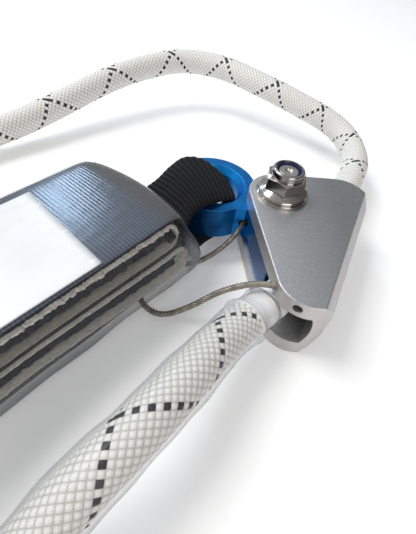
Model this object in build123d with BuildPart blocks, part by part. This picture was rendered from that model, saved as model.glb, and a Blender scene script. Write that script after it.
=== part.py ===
from build123d import *
from math import tan, radians, hypot, atan2, degrees, sqrt
import os

# Rope grab with a folded-webbing energy absorber on a length of 12 mm rope.
# Frame: origin on the lever's pivot axis at the housing's underside, which lies on the ground.
# +X points from the pivot to the rope groove, +Y to the wide end of the housing, +Z up.
os.makedirs("parts", exist_ok=True)

# ---- driving dimensions, millimetres ----
ROPE_D = 12.0               # rope across its sheath
GAP = 13.5                  # between the two cheek plates
PLATE_T = 5.75              # each cheek plate
H = GAP + 2 * PLATE_T       # housing height, 25
ZM = H / 2                  # middle of the rope channel
CORNER_R = 11.8             # cheek corner, about the pivot
END_R = 10.9                # both rounded ends of the cheek
FRONT_C = (21.2, -33.1)     # centre of the narrow end
BACK_C = (20.2, 12.0)       # centre of the wide end
OUTER_X = 31.1              # outside of the groove wall
FLAT_X = 27.7               # where the cheek's flat face ends
GROOVE_X = 27.05            # deepest line of the rope groove
GROOVE_R = 19.0             # groove radius across the channel

LEVER_T = 13.1              # lever, 0.2 clear of each cheek
EYE_C = (-26.3, -1.1)       # centre of the eye
EYE_R = 16.7                # outside of the eye
EYE_HOLE_R = 10.4
EYE_CHAMFER = 2.6
BOSS_R = 11.3               # round boss about the pivot

BOLT_R = 3.98               # M8 pivot bolt
HEAD_R, HEAD_T = 7.0, 3.2   # flush head in the lower cheek
SPACER_R = 5.5              # spacer sleeve about the bolt
BUSH_IN_R = 5.55            # bush on the spacer, 0.05 running clearance
BUSH_R = 6.6
FLANGE_R, FLANGE_T = 8.2, 0.7
WASHER_R, WASHER_T = 9.6, 1.2
NUT_AF, NUT_FLANGE_R, NUT_H = 13.0, 8.95, 9.5
COLLAR_R = 5.66

CABLE_R = 1.0               # 2 mm steel cable
SLEEVE_R = 7.0              # clear sleeve on the short end of the rope
SLEEVE_IN_R = 6.12

# energy absorber: s runs away from the eye, w to the left of it
PACK_DIR = (-0.2360, -0.9718)
PACK_W0, PACK_W1 = -13.3, 27.4
PACK_MID = (PACK_W0 + PACK_W1) / 2
PACK_TOP = 32.0
PACK_END = 136.0
FILM = 0.45

COIL_C = (-210.6, -50.0)    # put-away coil
COIL_OUT, COIL_IN = 71.0, 59.0
COIL_Z = 7.3

ux, uy = PACK_DIR
pack_plane = Plane(origin=(EYE_C[0], EYE_C[1], 0), x_dir=(ux, uy, 0), z_dir=(0, 0, 1))


def side_plane(w):
    # sketch plane of the pack's s-z profile at w, with its normal towards +w
    px = EYE_C[0] + w * uy
    py = EYE_C[1] - w * ux
    return Plane(origin=(px, py, 0), x_dir=(ux, uy, 0), z_dir=(uy, -ux, 0))


def route_radii(points):
    # each arc is 0.45 of the shorter run divided by the tangent of half the turn
    out = []
    for a, b, c in zip(points, points[1:], points[2:]):
        p, q = Vector(*b) - Vector(*a), Vector(*c) - Vector(*b)
        turn = radians(p.get_angle(q))
        out.append(0.45 * min(p.length, q.length) / tan(turn / 2))
    return out


def save(builder, name):
    builder.part.label = name
    export_step(builder.part, "parts/" + name + ".step")


# ---------------------------------------------------------------- housing
# unit normal of the cheek's slanting left edge, and the tangent points on it
nx, ny = -0.8290, -0.5592
left_a = (CORNER_R * nx, CORNER_R * ny)
left_b = (FRONT_C[0] + END_R * nx, FRONT_C[1] + END_R * ny)
# back edge: tangent to the corner and to the wide end
bx, by = -0.4756, 0.8797
back_a = (CORNER_R * bx, CORNER_R * by)
back_b = (BACK_C[0] + END_R * bx, BACK_C[1] + END_R * by)
front_join = (OUTER_X, FRONT_C[1] - sqrt(END_R**2 - (OUTER_X - FRONT_C[0]) ** 2))

with BuildPart() as housing_body:
    with BuildSketch():
        with BuildLine():
            corner = ThreePointArc(back_a, (-CORNER_R, 0.0), left_a)
            Line(left_a, left_b)
            ThreePointArc(left_b, (FRONT_C[0] + 0.6, FRONT_C[1] - END_R + 0.017), front_join)
            Line(front_join, (OUTER_X, BACK_C[1]))
            ThreePointArc((OUTER_X, BACK_C[1]), (BACK_C[0] + END_R * 0.5, BACK_C[1] + END_R * 0.8660254), back_b)
            Line(back_b, back_a)
        make_face()
    extrude(amount=H)
    # the extruded profile narrows above and below on the rope side
    with BuildSketch(Plane.XZ.offset(60)):
        with BuildLine():
            Polyline((-40, 0), (FLAT_X - 0.3, 0), (OUTER_X - 1.9, 3.6), (OUTER_X, 8.2), (OUTER_X, H - 8.2),
                     (OUTER_X - 0.5, H - 4.2), (FLAT_X, H), (-40, H), (-40, 0))
        make_face()
    extrude(amount=-120, mode=Mode.INTERSECT)
    # rope channel: open on the left, concave against the rope on the right
    with BuildSketch(Plane.XZ.offset(60)):
        with BuildLine():
            half = GAP / 2
            edge_x = GROOVE_X - (GROOVE_R - sqrt(GROOVE_R**2 - half**2))
            Line((-40, ZM - half), (edge_x, ZM - half))
            ThreePointArc((edge_x, ZM - half), (GROOVE_X, ZM), (edge_x, ZM + half))
            Line((edge_x, ZM + half), (-40, ZM + half))
            Line((-40, ZM + half), (-40, ZM - half))
        make_face()
    extrude(amount=-120, mode=Mode.SUBTRACT)
    # bolt hole, counterbored underneath for the flush head
    with Locations((0, 0, H)):
        Hole(radius=4.02, depth=H)
    with BuildSketch():
        Circle(HEAD_R + 0.05)
    extrude(amount=HEAD_T + 0.05, mode=Mode.SUBTRACT)
    # cable hole in the upper cheek's left edge and the tapped hole that crosses it
    with BuildSketch(Plane(origin=(12.3 - 1.5, -39.3 - 0.4, 22.1), x_dir=(0, 0, 1), z_dir=(0.968, 0.25, 0))):
        Circle(1.2)
    extrude(amount=10.2, mode=Mode.SUBTRACT)
    with BuildSketch(Plane(origin=(20.5, -46.0, 22.3), x_dir=(1, 0, 0), z_dir=(0, 1, 0))):
        Circle(1.55)
    extrude(amount=9.6, mode=Mode.SUBTRACT)
    # small break on the upper face's outline
    top_edges = housing_body.faces().sort_by(Axis.Z)[-1].outer_wire().edges()
    chamfer(top_edges, length=0.25)
save(housing_body, "housing_body")

# ---------------------------------------------------------------- pivot
with BuildPart() as pivot_bolt:
    with BuildSketch():
        Circle(HEAD_R)
    extrude(amount=HEAD_T)
    with BuildSketch():
        Circle(BOLT_R)
    extrude(amount=H + WASHER_T + NUT_H - 0.9)
    chamfer(pivot_bolt.faces().sort_by(Axis.Z)[-1].edges(), length=0.7)
    # centre dimple in the bolt's end
    with BuildSketch(Plane.XY.offset(H + WASHER_T + NUT_H - 0.9)):
        Circle(1.4)
    extrude(amount=-0.6, taper=40, mode=Mode.SUBTRACT)
save(pivot_bolt, "pivot_bolt")

with BuildPart() as spacer_sleeve:
    with BuildSketch(Plane.XY.offset(PLATE_T + 0.02)):
        Circle(SPACER_R)
        Circle(4.05, mode=Mode.SUBTRACT)
    extrude(amount=GAP - 0.04)
save(spacer_sleeve, "spacer_sleeve")

with BuildPart() as flat_washer:
    with BuildSketch(Plane.XY.offset(H)):
        Circle(WASHER_R)
        Circle(4.2, mode=Mode.SUBTRACT)
    extrude(amount=WASHER_T)
    chamfer(flat_washer.faces().sort_by(Axis.Z)[-1].edges(), length=0.2)
save(flat_washer, "flat_washer")

nut_z = H + WASHER_T
with BuildPart() as flange_nut:
    # flange and rounded collar are one turned profile
    with BuildSketch(Plane.XZ):
        with BuildLine():
            Polyline((4.03, nut_z), (NUT_FLANGE_R, nut_z), (NUT_FLANGE_R, nut_z + 0.8), (NUT_FLANGE_R - 0.25, nut_z + 1.15),
                     (6.6, nut_z + 2.35), (6.6, nut_z + 2.6), (COLLAR_R, nut_z + 3.2), (COLLAR_R, nut_z + NUT_H - 0.8))
            ThreePointArc((COLLAR_R, nut_z + NUT_H - 0.8), (COLLAR_R - 0.2343, nut_z + NUT_H - 0.2343), (COLLAR_R - 0.8, nut_z + NUT_H))
            Polyline((COLLAR_R - 0.8, nut_z + NUT_H), (4.6, nut_z + NUT_H), (4.6, nut_z + NUT_H - 0.4), (5.1, nut_z + NUT_H - 0.4),
                     (5.1, nut_z + NUT_H - 2.6), (4.03, nut_z + NUT_H - 2.6), (4.03, nut_z))
        make_face()
    revolve(axis=Axis.Z)
    # hexagon, its corners turned off above and below
    with BuildPart(mode=Mode.PRIVATE) as hex_body:
        with BuildSketch(Plane.XY.offset(nut_z + 1.2)):
            RegularPolygon(radius=NUT_AF / 2, side_count=6, major_radius=False, rotation=47)
            Circle(4.03, mode=Mode.SUBTRACT)
        extrude(amount=5.7)
        with BuildSketch(Plane.XZ):
            with BuildLine():
                Polyline((0, nut_z), (9, nut_z), (9, nut_z + 5.6), (6.2, nut_z + 6.95), (0, nut_z + 6.95), (0, nut_z))
            make_face()
        revolve(axis=Axis.Z, mode=Mode.INTERSECT)
    add(hex_body.part)
save(flange_nut, "flange_nut")

with BuildPart() as nut_insert:
    with BuildSketch(Plane.XY.offset(nut_z + NUT_H - 2.58)):
        Circle(5.06)
        Circle(4.0, mode=Mode.SUBTRACT)
    extrude(amount=2.1)
save(nut_insert, "nut_locking_insert")

# ---------------------------------------------------------------- lever with the eye
lz = ZM - LEVER_T / 2
with BuildPart() as cam_lever:
    with BuildSketch(Plane.XY.offset(lz)):
        with Locations(EYE_C):
            Circle(EYE_R)
        Circle(BOSS_R)
        # web between the eye and the boss
        with BuildLine():
            Polyline((-13.2, 9.4), (-9.0, 5.8), (-7.8, -6.9), (-8.9, -9.0), (-13.9, -10.9), (-19.6, -15.2), (-26, -12), (-22, 10), (-13.2, 9.4))
        make_face()
        # arm that presses the rope, down the slanting opening
        with BuildLine():
            Polyline((-7.8, -6.9), (-6.1, -9.9), (7.15, -29.6), (7.7, -30.3), (8.2, -29.6), (9.3, -26.2), (11.3, -21.0),
                     (13.6, -16.0), (14.3, -9.0), (14.2, -1.0), (11.0, 2.6), (0, 0), (-7.8, -6.9))
        make_face()
    extrude(amount=LEVER_T)
    with Locations((EYE_C[0], EYE_C[1], lz + LEVER_T)):
        Hole(radius=EYE_HOLE_R, depth=LEVER_T)
    eye_edges = cam_lever.edges().filter_by(GeomType.CIRCLE).filter_by(
        lambda e: abs(e.radius - EYE_HOLE_R) < 0.01 and hypot(e.arc_center.X - EYE_C[0], e.arc_center.Y - EYE_C[1]) < 0.01)
    chamfer(eye_edges, length=2.2, length2=EYE_CHAMFER)
    # bore for the bush and seats for its flanges
    with Locations((0, 0, lz + LEVER_T)):
        Hole(radius=BUSH_R + 0.02, depth=LEVER_T)
    for z, d in ((lz, 1), (lz + LEVER_T, -1)):
        with BuildSketch(Plane.XY.offset(z)):
            Circle(FLANGE_R + 0.1)
        extrude(amount=d * 0.6, mode=Mode.SUBTRACT)
    # blind hole for the cable's crimped end
    with BuildSketch(Plane(origin=(-8.65, -10.5, ZM), x_dir=(0, 0, 1), z_dir=(-0.1, 0.995, 0))):
        Circle(1.7)
    extrude(amount=8.2, mode=Mode.SUBTRACT)
save(cam_lever, "cam_lever")

for name, z, d in (("lever_bush_lower", lz - 0.1, 1), ("lever_bush_upper", lz + LEVER_T + 0.1, -1)):
    with BuildPart() as bush:
        with BuildSketch(Plane.XY.offset(z)):
            Circle(FLANGE_R)
            Circle(BUSH_IN_R, mode=Mode.SUBTRACT)
        extrude(amount=d * FLANGE_T)
        with BuildSketch(Plane.XY.offset(z)):
            Circle(BUSH_R)
            Circle(BUSH_IN_R, mode=Mode.SUBTRACT)
        extrude(amount=d * 6.3)
    save(bush, name)

# ---------------------------------------------------------------- limiting cable
cable_route = [(-9.35, -3.6, ZM), (-8.6, -11.0, 12.3), (-10.6, -16.6, 8.2), (-14.6, -21.6, 4.3), (-19.5, -27.6, 1.5), (-26.2, -32.6, 1.1),
               (-31.3, -39.0, 1.15), (-31.0, -47.2, 1.1), (-25.6, -53.2, 1.2), (-17.4, -54.4, 1.9), (-9.8, -49.0, 6.4), (-3.6, -43.6, 12.6),
               (2.6, -41.9, 18.6), (8.2, -40.4, 22.0), (14.2, -38.8, 22.1), (19.2, -37.5, 22.1)]
cable_radii = route_radii(cable_route)
print("cable radii", [round(r, 1) for r in cable_radii])
with BuildPart() as safety_cable:
    with BuildLine() as cable_path:
        FilletPolyline(*cable_route, radius=cable_radii)
    with BuildSketch(cable_path.line ^ 0):
        Circle(CABLE_R)
    sweep()
print("cable length", round(cable_path.wires()[0].length, 1), "volume / section", round(safety_cable.part.volume / (3.14159265 * CABLE_R**2), 1))
save(safety_cable, "safety_cable")

with BuildPart() as cable_ferrule:
    with BuildSketch(Plane(origin=(-9.37, -3.4, ZM), x_dir=(0, 0, 1), z_dir=(0.1, -0.995, 0))):
        Circle(1.66)
        Circle(1.12, mode=Mode.SUBTRACT)
    extrude(amount=3.6)
save(cable_ferrule, "cable_ferrule")

with BuildPart() as cable_set_screw:
    with BuildSketch(Plane(origin=(20.5, -41.4, 22.3), x_dir=(1, 0, 0), z_dir=(0, 1, 0))):
        Circle(1.53)
    extrude(amount=2.6)
    with BuildSketch(Plane(origin=(20.5, -41.4, 22.3), x_dir=(1, 0, 0), z_dir=(0, 1, 0))):
        RegularPolygon(radius=0.75, side_count=6, major_radius=False)
    extrude(amount=1.4, mode=Mode.SUBTRACT)
save(cable_set_screw, "cable_set_screw")

# ---------------------------------------------------------------- energy absorber
# black webbing loop through the eye: two bands and the part inside the hole
up_z, low_z, band_t = 19.6, 2.5, 2.6
with BuildPart() as eye_webbing:
    with BuildSketch(Plane.XY.offset(up_z)):
        with Locations(EYE_C):
            Circle(9.3)
        with BuildLine():
            Polyline((-17.6, -4.5), (-18.6, -12.0), (-21.4, -18.0), (-22.4, -24.0), (-23.7, -33.6), (-25.8, -42.4), (-46.2, -37.4), (-43.4, -24.0),
                     (-41.5, -14.0), (-41.6, -5.0), (-38.2, 0.9), (-33.4, 5.0), (-17.6, -4.5))
        make_face()
    extrude(amount=band_t)
    with BuildSketch(Plane.XY.offset(low_z)):
        with Locations(EYE_C):
            Circle(9.3)
        with BuildLine():
            Polyline((-17.6, -4.5), (-18.6, -12.0), (-20.2, -19.0), (-21.6, -26.0), (-23.7, -33.6), (-25.8, -42.4), (-46.2, -37.4), (-43.4, -24.0),
                     (-41.5, -14.0), (-41.6, -5.0), (-38.2, 0.9), (-33.4, 5.0), (-17.6, -4.5))
        make_face()
    extrude(amount=band_t)
    with BuildSketch(Plane.XY.offset(low_z)):
        with Locations(EYE_C):
            Circle(9.3)
    extrude(amount=up_z + band_t - low_z)
    # stitched root inside the pack
    with BuildSketch(Plane.XY.offset(low_z)):
        with BuildLine():
            Polyline((-24.8, -38.0), (-25.8, -42.4), (-46.2, -37.4), (-45.2, -33.05), (-24.8, -38.0))
        make_face()
    extrude(amount=up_z + band_t - low_z)
save(eye_webbing, "eye_webbing")


def section_plane(s):
    # sketch plane across the pack at s: x is w, y is z
    return Plane(origin=(EYE_C[0] + ux * s, EYE_C[1] + uy * s, 0), x_dir=(uy, -ux, 0), z_dir=(-ux, -uy, 0))


cover_profile = [(28.4, 3.2), (26.2, 6.0), (25.6, 10.5), (27.4, 17.0), (29.6, 24.0), (33.4, 29.6), (39.0, PACK_TOP), (PACK_END - 8, PACK_TOP),
                 (PACK_END - 2.5, 28.5), (PACK_END, 20.0), (PACK_END, 10.0), (PACK_END - 3, 3.0), (PACK_END - 9, 0.3), (68.0, 0.3), (60.0, 2.9), (32.0, 2.9)]
inner_profile = [(29.0, 3.6), (26.8, 6.3), (26.2, 10.5), (28.0, 16.9), (30.2, 23.8), (33.9, 29.2), (39.2, PACK_TOP - FILM), (PACK_END - 8.3, PACK_TOP - FILM),
                 (PACK_END - 3, 28.2), (PACK_END - 0.5, 19.9), (PACK_END - 0.5, 10.1), (PACK_END - 3.4, 3.3), (PACK_END - 9.1, 0.75), (67.9, 0.75), (59.9, 3.35), (32.0, 3.35)]
with BuildPart() as absorber_cover:
    with BuildSketch(side_plane(PACK_W1)):
        with BuildLine():
            Polyline(*cover_profile, cover_profile[0])
        make_face()
    extrude(amount=-(PACK_W1 - PACK_W0))
    with BuildSketch(section_plane(10)):
        with Locations((PACK_MID, (PACK_TOP + 0.3) / 2)):
            RectangleRounded(PACK_W1 - PACK_W0, PACK_TOP - 0.3, 4.0)
    extrude(amount=-(PACK_END + 20), mode=Mode.INTERSECT)
    with BuildPart(mode=Mode.PRIVATE) as hollow:
        with BuildSketch(side_plane(PACK_W1 - FILM)):
            with BuildLine():
                Polyline(*inner_profile, inner_profile[0])
            make_face()
        extrude(amount=-(PACK_W1 - PACK_W0 - 2 * FILM))
        with BuildSketch(section_plane(10)):
            with Locations((PACK_MID, (PACK_TOP + 0.3) / 2)):
                RectangleRounded(PACK_W1 - PACK_W0 - 2 * FILM, PACK_TOP - 0.3 - 2 * FILM, 3.6)
        extrude(amount=-(PACK_END + 20), mode=Mode.INTERSECT)
    add(hollow.part, mode=Mode.SUBTRACT)
    # open mouths where the two webbing loops leave the film
    with BuildSketch(side_plane(12.8)):
        with BuildLine():
            Polyline((20, 1.6), (42, 1.6), (42, 25.6), (20, 25.6), (20, 1.6))
        make_face()
    extrude(amount=-24.3, mode=Mode.SUBTRACT)
    with BuildSketch(side_plane(20.4)):
        with BuildLine():
            Polyline((PACK_END - 6, 4.6), (PACK_END + 6, 4.6), (PACK_END + 6, 24.4), (PACK_END - 6, 24.4), (PACK_END - 6, 4.6))
        make_face()
    extrude(amount=-26.8, mode=Mode.SUBTRACT)
save(absorber_cover, "absorber_cover")

SW0, SW1 = PACK_W0 + 0.7, PACK_W1 - 0.7      # straps inside the film


def notch(s1, z0, z1):
    # room in a strap for the black webbing
    with BuildPart(mode=Mode.PRIVATE) as room:
        with BuildSketch(side_plane(12.5)):
            with BuildLine():
                Polyline((15, z0), (s1, z0), (s1, z1), (15, z1), (15, z0))
            make_face()
        extrude(amount=-23.5)
    return room.part


def u_profile(tip, end, z0, z1, t):
    # U-fold in s and z: outer and inner stadium ends, open at the far end
    ro, mid = (z1 - z0) / 2, (z0 + z1) / 2
    ri = ro - t
    Line((end, z1), (tip + ro, z1))
    ThreePointArc((tip + ro, z1), (tip, mid), (tip + ro, z0))
    Line((tip + ro, z0), (end, z0))
    Line((end, z0), (end, z0 + t))
    Line((end, z0 + t), (tip + ro, z0 + t))
    ThreePointArc((tip + ro, z0 + t), (tip + t, mid), (tip + ro, z1 - t))
    Line((tip + ro, z1 - t), (end, z1 - t))
    Line((end, z1 - t), (end, z1))


folds = (("tear_webbing_upper", 31.6, 18.4, 29.0, 3.0), ("tear_webbing_lower", 27.6, 6.4, 17.6, 3.0))
for name, tip, z0, z1, t in folds:
    with BuildPart() as fold:
        with BuildSketch(side_plane(SW1)):
            with BuildLine():
                u_profile(tip, PACK_END - 8.5, z0, z1, t)
            make_face()
        extrude(amount=-(SW1 - SW0))
        add(notch(42.5, z0 - 4.5, 25.8 if z1 > 20 else z1 + 2), mode=Mode.SUBTRACT)
    save(fold, name)

for name, s0, s1, z0, z1 in (("core_strap_upper", 43.0, PACK_END - 9, 21.7, 25.7), ("core_strap_lower", 43.0, PACK_END - 9, 9.7, 14.3),
                             ("top_strap", 38.6, PACK_END - 9, 29.2, 31.05)):
    inset = 2.1 if name == "top_strap" else 0.6
    with BuildPart() as strap:
        with BuildSketch(side_plane(SW1 - inset)):
            with BuildLine():
                Polyline((s0, z0), (s1, z0), (s1, z1), (s0, z1), (s0, z0))
            make_face()
        extrude(amount=-(SW1 - SW0 - 2 * inset))
        fillet(strap.edges().filter_by(Axis((0, 0, 0), (ux, uy, 0))), radius=0.8)
    save(strap, name)

with BuildPart() as bottom_strap:
    with BuildSketch(side_plane(SW1 - 2.2)):
        with BuildLine():
            Polyline((44, 3.6), (60.2, 3.6), (68.5, 1.1), (PACK_END - 10, 1.1), (PACK_END - 10, 6.1), (44, 6.1), (44, 3.6))
        make_face()
    extrude(amount=-(SW1 - SW0 - 4.4))
save(bottom_strap, "bottom_strap")

with BuildPart() as label_plate:
    with BuildSketch(side_plane(22.5)):
        with BuildLine():
            Polyline((61.5, 31.13), (121, 31.13), (121, 31.43), (61.5, 31.43), (61.5, 31.13))
        make_face()
    extrude(amount=-32.3)
save(label_plate, "label")

# far webbing loop for the harness connector
HL0, HL1, HLT = PACK_END - 8.2, 172.0, 2.5
with BuildPart() as harness_loop:
    with BuildSketch(side_plane(PACK_MID + 12.5)):
        with BuildLine():
            Polyline((HL0, 6.0), (HL1 - 8.5, 6.0))
            ThreePointArc((HL1 - 8.5, 6.0), (HL1, 14.5), (HL1 - 8.5, 23.0))
            Polyline((HL1 - 8.5, 23.0), (HL0, 23.0), (HL0, 6.0))
        make_face()
        with BuildLine():
            Polyline((HL0 + 5.5, 6.0 + HLT), (HL1 - 8.5, 6.0 + HLT))
            ThreePointArc((HL1 - 8.5, 6.0 + HLT), (HL1 - HLT, 14.5), (HL1 - 8.5, 23.0 - HLT))
            Polyline((HL1 - 8.5, 23.0 - HLT), (HL0 + 5.5, 23.0 - HLT), (HL0 + 5.5, 6.0 + HLT))
        make_face(mode=Mode.SUBTRACT)
    extrude(amount=-25.0)
save(harness_loop, "harness_loop")

with BuildPart() as harness_stitching:
    for z in (23.02, 5.98 - 0.5):
        with BuildSketch(side_plane(PACK_MID + 9.5)):
            with BuildLine():
                Polyline((PACK_END + 1.5, z), (PACK_END + 11.5, z), (PACK_END + 11.5, z + 0.5), (PACK_END + 1.5, z + 0.5), (PACK_END + 1.5, z))
            make_face()
        extrude(amount=-19.0)
save(harness_stitching, "harness_stitching")

# ---------------------------------------------------------------- rope
with BuildPart() as rope_channel_run:
    with BuildSketch(Plane(origin=(21.0, 15.2, ZM), x_dir=(1, 0, 0), z_dir=(0, -1, 0))):
        Circle(ROPE_D / 2)
    extrude(amount=22.2)
save(rope_channel_run, "rope_channel_run")

long_route = [(21.0, 15.2, ZM), (20.8, 38.6, ZM), (22.2, 63.4, 12.8), (7.6, 83.5, 16.0), (-16.9, 84.3, 20.7), (-40.3, 85.9, 23.4), (-64.3, 90.0, 24.4),
              (-87.3, 84.3, 23.7), (-102.3, 64.0, 21.0), (-111.3, 42.7, 17.8), (-118.3, 19.8, 13.2), (-125.0, -2.7, 9.6), (-133.4, -25.1, 7.8), (-139.6, -48.1, COIL_Z)]
long_radii = route_radii(long_route)
print("long run radii", [round(r, 1) for r in long_radii])
with BuildPart() as rope_long_run:
    with BuildLine() as long_path:
        FilletPolyline(*long_route, radius=long_radii)
    with BuildSketch(long_path.line ^ 0):
        Circle(ROPE_D / 2)
    sweep()
print("long run length", round(long_path.wires()[0].length, 1), "volume / section", round(rope_long_run.part.volume / (3.14159265 * ROPE_D**2 / 4), 1))
save(rope_long_run, "rope_long_run")

with BuildPart() as rope_coil:
    # two turns side by side on the ground and most of a turn on top of them
    with BuildSketch(Plane(origin=(COIL_C[0], COIL_C[1], 0), x_dir=(1, 0, 0), z_dir=(0, -1, 0))):
        with BuildLine():
            Polyline((COIL_IN - 6, 4.2), (COIL_IN - 3, 1.35), (COIL_OUT + 3, 1.35), (COIL_OUT + 6, 4.2), (COIL_OUT + 6, 10.4), (COIL_OUT + 2.5, 13.3),
                     (COIL_IN - 2.5, 13.3), (COIL_IN - 6, 10.4), (COIL_IN - 6, 4.2))
        make_face()
    revolve(axis=Axis((COIL_C[0], COIL_C[1], 0), (0, 0, 1)))
    with BuildSketch(Plane(origin=(COIL_C[0], COIL_C[1], 0), x_dir=(1, 0, 0), z_dir=(0, -1, 0))):
        with BuildLine():
            Polyline((59.0, 13.2), (71.0, 13.2), (71.0, 20.8), (68.2, 23.7), (61.8, 23.7), (59.0, 20.8), (59.0, 13.2))
        make_face()
    revolve(axis=Axis((COIL_C[0], COIL_C[1], 0), (0, 0, 1)), revolution_arc=-290)
save(rope_coil, "rope_coil")

with BuildPart() as coil_tie:
    # strap once round the coil's section
    with BuildSketch(Plane(origin=(COIL_C[0], COIL_C[1] - 8, 0), x_dir=(-1, 0, 0), z_dir=(0, 1, 0))):
        with Locations((65.0, 12.55)):
            RectangleRounded(27.4, 25.0, 5.0)
            RectangleRounded(25.2, 22.8, 4.0, mode=Mode.SUBTRACT)
    extrude(amount=16)
save(coil_tie, "coil_tie")

with BuildPart() as rope_long_end:
    # whipped and shrink-capped end, lying in the top turn's place
    ex, ey = COIL_C[0] + 65.0 * 0.3420, COIL_C[1] + 65.0 * 0.9397
    with BuildSketch(Plane(origin=(ex, ey, 20.2), x_dir=(0, 0, 1), z_dir=(0.9397, -0.3420, 0))):
        Circle(6.6)
    extrude(amount=26)
    fillet(rope_long_end.edges(), radius=1.2)
save(rope_long_end, "rope_long_end")

short_route = [(21.0, -7.0, ZM), (20.9, -18.4, ZM), (15.2, -31.3, ZM), (9.4, -46.2, 12.9), (5.1, -61.1, 15.8), (2.6, -76.1, 19.2), (-0.6, -91.5, 20.8),
               (-5.3, -106.3, 18.8), (-9.2, -120.5, 13.8), (-9.8, -135.3, 9.4), (-6.2, -150.0, 7.8), (2.6, -162.6, 7.75)]
short_radii = route_radii(short_route)
print("short run radii", [round(r, 1) for r in short_radii])
with BuildPart() as rope_short_run:
    with BuildLine() as short_path:
        FilletPolyline(*short_route, radius=short_radii)
    with BuildSketch(short_path.line ^ 0):
        Circle(ROPE_D / 2)
    sweep()
print("short run length", round(short_path.wires()[0].length, 1), "volume / section", round(rope_short_run.part.volume / (3.14159265 * ROPE_D**2 / 4), 1))
save(rope_short_run, "rope_short_run")

with BuildPart() as rope_sleeve:
    with BuildLine() as sleeve_path:
        FilletPolyline(*short_route, radius=short_radii)
    with BuildSketch(sleeve_path.line ^ 0):
        Circle(SLEEVE_R)
        Circle(SLEEVE_IN_R, mode=Mode.SUBTRACT)
    sweep()
    # the sleeve starts where the rope leaves the housing
    with BuildSketch(Plane(origin=(11.1, -41.6, ZM), x_dir=(0, 0, 1), z_dir=(0.364, 0.931, 0))):
        Rectangle(60, 60)
    extrude(amount=60, mode=Mode.SUBTRACT)
save(rope_sleeve, "rope_sleeve")

with BuildPart() as rope_short_end:
    # closed cap over the sleeve's far end
    with BuildSketch(Plane(origin=(2.6 + 0.5726 * 4.5, -162.6 - 0.8198 * 4.5, 7.75), x_dir=(0, 0, 1), z_dir=(-0.5726, 0.8198, 0))):
        Circle(7.7)
    extrude(amount=12)
    fillet(rope_short_end.faces().sort_by(Axis.Y)[0].edges(), radius=2.0)
    with BuildSketch(Plane(origin=(2.6 + 0.5726 * 0.05, -162.6 - 0.8198 * 0.05, 7.75), x_dir=(0, 0, 1), z_dir=(-0.5726, 0.8198, 0))):
        Circle(SLEEVE_R + 0.05)
    extrude(amount=12, mode=Mode.SUBTRACT)
save(rope_short_end, "rope_short_end")
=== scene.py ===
import math

import bpy
import numpy as np
from mathutils import Matrix, Vector


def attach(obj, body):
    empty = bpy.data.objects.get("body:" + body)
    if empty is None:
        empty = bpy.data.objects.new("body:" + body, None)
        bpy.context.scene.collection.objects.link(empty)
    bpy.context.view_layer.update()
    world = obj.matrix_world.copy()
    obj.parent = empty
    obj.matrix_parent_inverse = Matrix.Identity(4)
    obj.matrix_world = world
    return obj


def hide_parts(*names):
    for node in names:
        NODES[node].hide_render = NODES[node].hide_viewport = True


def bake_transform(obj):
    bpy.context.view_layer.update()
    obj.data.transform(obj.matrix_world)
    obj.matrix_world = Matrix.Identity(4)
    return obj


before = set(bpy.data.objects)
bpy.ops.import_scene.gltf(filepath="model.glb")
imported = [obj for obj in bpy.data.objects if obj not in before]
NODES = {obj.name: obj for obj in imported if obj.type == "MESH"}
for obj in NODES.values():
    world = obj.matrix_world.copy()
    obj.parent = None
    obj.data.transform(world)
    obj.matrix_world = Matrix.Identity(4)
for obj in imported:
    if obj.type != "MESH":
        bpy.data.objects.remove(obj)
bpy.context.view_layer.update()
MM = 0.001
scene = bpy.context.scene
scene.view_settings.view_transform = "Standard"
scene.view_settings.look = "None"


# ------------------------------------------------------------------ camera
cam_data = bpy.data.cameras.new("camera")
cam = bpy.data.objects.new("camera", cam_data)
scene.collection.objects.link(cam)
r0 = (0.8897513223, 0.4408120323, 0.1184370576)
r1 = (0.4070789568, -0.6489703237, -0.6427474169)
r2 = (-0.2064686595, 0.6200985979, -0.7568675059)
cam.matrix_world = Matrix(
    (
        (r0[0], -r1[0], -r2[0], 0.01434586),
        (r0[1], -r1[1], -r2[1], -0.11072429),
        (r0[2], -r1[2], -r2[2], 0.10431732),
        (0, 0, 0, 1),
    )
)
cam_data.sensor_width = 36
cam_data.lens = 362.4829 / 534 * 36
cam_data.clip_start, cam_data.clip_end = 0.005, 20
scene.camera = cam


# ------------------------------------------------------------------ mesh helpers
def link(ob):
    scene.collection.objects.link(ob)
    return ob


def spline_points(points):
    """Points of the smooth NURBS line that has these route points, in mm, as its control points."""
    cu = bpy.data.curves.new("route", "CURVE")
    cu.dimensions = "3D"
    sp = cu.splines.new("NURBS")
    sp.points.add(len(points) - 1)
    for p, q in zip(sp.points, points):
        p.co = (q[0] * MM, q[1] * MM, q[2] * MM, 1)
    sp.order_u = 3
    sp.use_endpoint_u = True
    cu.resolution_u = 24
    ob = link(bpy.data.objects.new("route", cu))
    bpy.context.view_layer.update()
    me = bpy.data.meshes.new_from_object(ob.evaluated_get(bpy.context.evaluated_depsgraph_get()))
    pts = np.array([v.co for v in me.vertices], float) / MM
    bpy.data.objects.remove(ob)
    bpy.data.meshes.remove(me)
    return pts


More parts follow.
